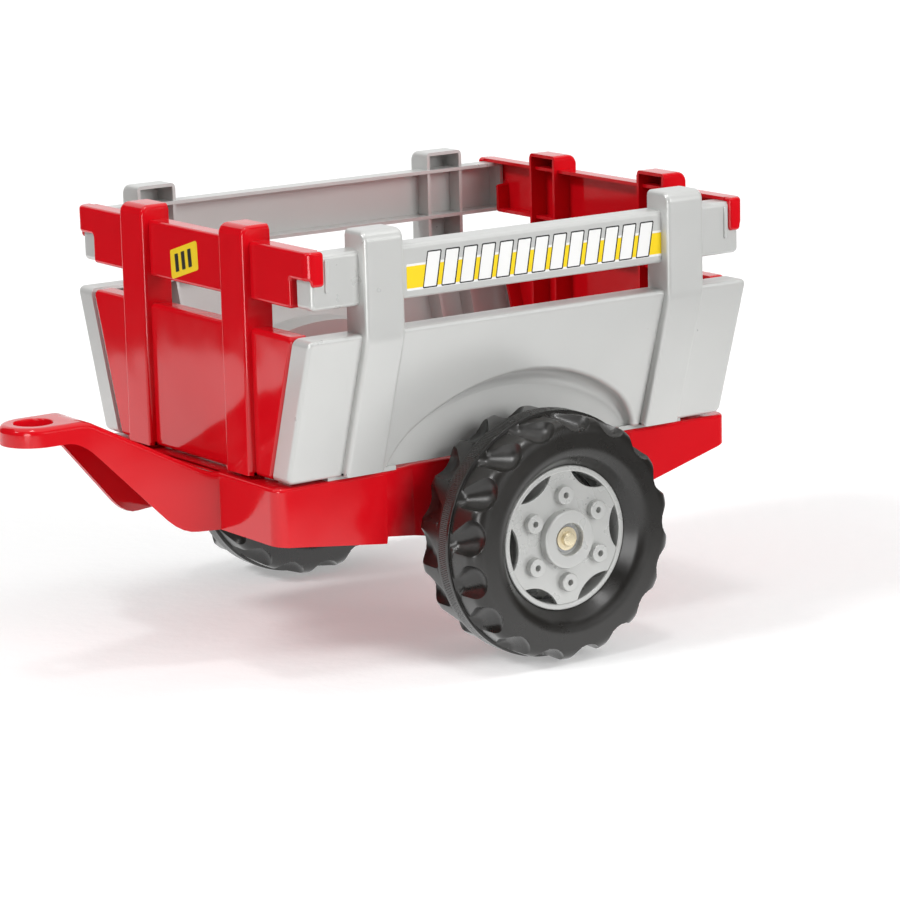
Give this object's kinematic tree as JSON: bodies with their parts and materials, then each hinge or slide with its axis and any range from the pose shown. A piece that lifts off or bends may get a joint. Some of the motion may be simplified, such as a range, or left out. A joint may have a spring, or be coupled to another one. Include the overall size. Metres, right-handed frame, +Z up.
{
  "type": "toy farm trailer",
  "caption": "Single-axle farm trailer for a pedal tractor: red moulded chassis with a cranked drawbar and hitch eye, silver slatted sides, lift-out red end boards and lugged tyres.",
  "frame": {"origin": "centre of the bounding box at ground level", "axes": "+X forwards along the drawbar, +Y to the trailer's left, +Z up"},
  "size_m": [0.6389, 0.479, 0.377],
  "materials": {
    "red_plastic": "glossy injection-moulded red plastic",
    "silver_plastic": "satin silver-pigmented injection-moulded plastic",
    "rim_grey": "satin light grey plastic",
    "black_plastic": "plain black plastic",
    "tyre": "satin black moulded tyre with lugs",
    "steel": "bright zinc-plated steel",
    "brass": "yellow-passivated push-on cap"
  },
  "bodies": {
    "trailer": {"chassis": "red_plastic", "left_side_panel": "silver_plastic", "right_side_panel": "silver_plastic", "axle_rod": "steel", "left_spacer": "black_plastic", "right_spacer": "black_plastic", "left_washer": "steel", "right_washer": "steel", "left_axle_cap": "brass", "right_axle_cap": "brass", "left_panel_screws": "steel", "right_panel_screws": "steel"},
    "left_wheel": {"left_tyre": "tyre", "left_outer_rim": "rim_grey", "left_inner_rim": "rim_grey", "left_hub_bush": "black_plastic"},
    "right_wheel": {"right_tyre": "tyre", "right_outer_rim": "rim_grey", "right_inner_rim": "rim_grey", "right_hub_bush": "black_plastic"},
    "front_board": {"front_board": "red_plastic"},
    "tailgate": {"tailgate": "red_plastic"}
  },
  "joints": [
    {"name": "left_wheel_spin", "type": "hinge", "parent": "trailer", "child": "left_wheel", "pos_m": [-0.0815, 0.197, 0.105], "axis": [0, 1, 0], "continuous": true},
    {"name": "right_wheel_spin", "type": "hinge", "parent": "trailer", "child": "right_wheel", "pos_m": [-0.0815, -0.197, 0.105], "axis": [0, 1, 0], "continuous": true},
    {"name": "tailgate_lift", "type": "slide", "parent": "trailer", "child": "tailgate", "axis": [0, 0, 1], "range_m": [0, 0.23]},
    {"name": "front_board_lift", "type": "slide", "parent": "trailer", "child": "front_board", "axis": [0, 0, 1], "range_m": [0, 0.23]}
  ]
}
